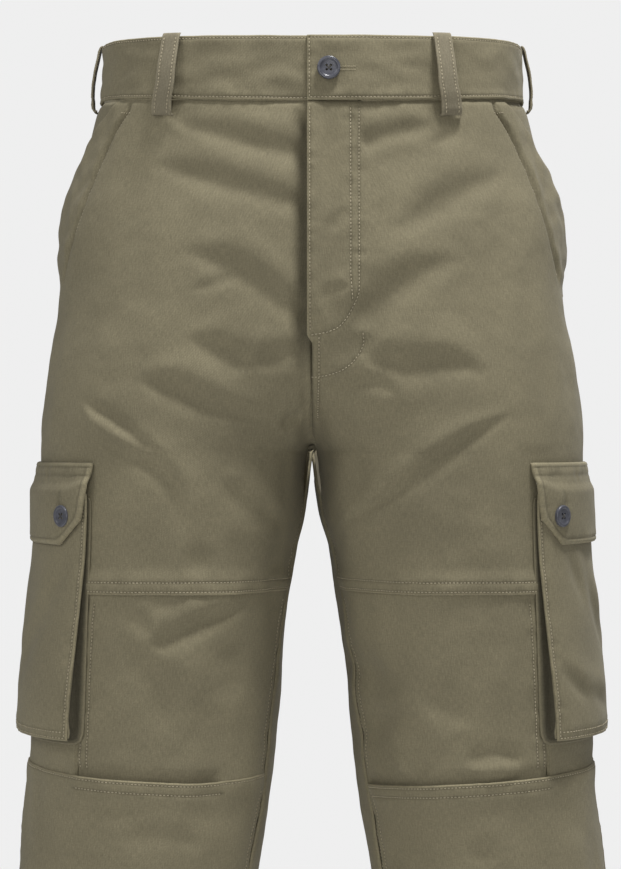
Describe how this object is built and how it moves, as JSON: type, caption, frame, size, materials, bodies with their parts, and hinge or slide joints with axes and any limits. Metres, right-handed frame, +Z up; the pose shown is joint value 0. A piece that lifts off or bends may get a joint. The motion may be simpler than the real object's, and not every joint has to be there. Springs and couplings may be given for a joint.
{
  "type": "cargo pants",
  "caption": "Cargo trousers in their worn, hollow form, with a buttoned waistband, belt loops, slanted hip pockets and a flapped bellows pocket on the side of each leg",
  "frame": {"origin": "the middle of the waist opening's height at the front, halfway up the waistband, on the centre plane between the two sides: where the wearer's waist holds the garment up", "axes": "+Z up along the legs towards the waist, -Y to the front where the button is, +X to the wearer's left"},
  "size_m": [0.4804, 0.2595, 1.1097],
  "materials": {
    "twill": "matte cotton twill",
    "button": "satin"
  },
  "bodies": {
    "root": {"front_upper_left": "twill", "hip_facing_left": "twill", "knee_panel_left": "twill", "side_panel_left": "twill", "front_lower_left": "twill", "back_left": "twill", "waistband_left": "twill", "cargo_gusset_left": "twill", "cargo_face_left": "twill", "cargo_flap_left": "twill", "flap_button_front_left": "button", "flap_button_back_left": "button", "front_upper_right": "twill", "hip_facing_right": "twill", "knee_panel_right": "twill", "side_panel_right": "twill", "front_lower_right": "twill", "back_right": "twill", "waistband_right": "twill", "cargo_gusset_right": "twill", "cargo_face_right": "twill", "cargo_flap_right": "twill", "flap_button_front_right": "button", "flap_button_back_right": "button", "belt_loop_front_left": "twill", "belt_loop_front_right": "twill", "belt_loop_side_left": "twill", "belt_loop_side_right": "twill", "belt_loop_back_left": "twill", "belt_loop_back_right": "twill", "belt_loop_centre_back": "twill", "waist_button": "button"}
  },
  "joints": []
}
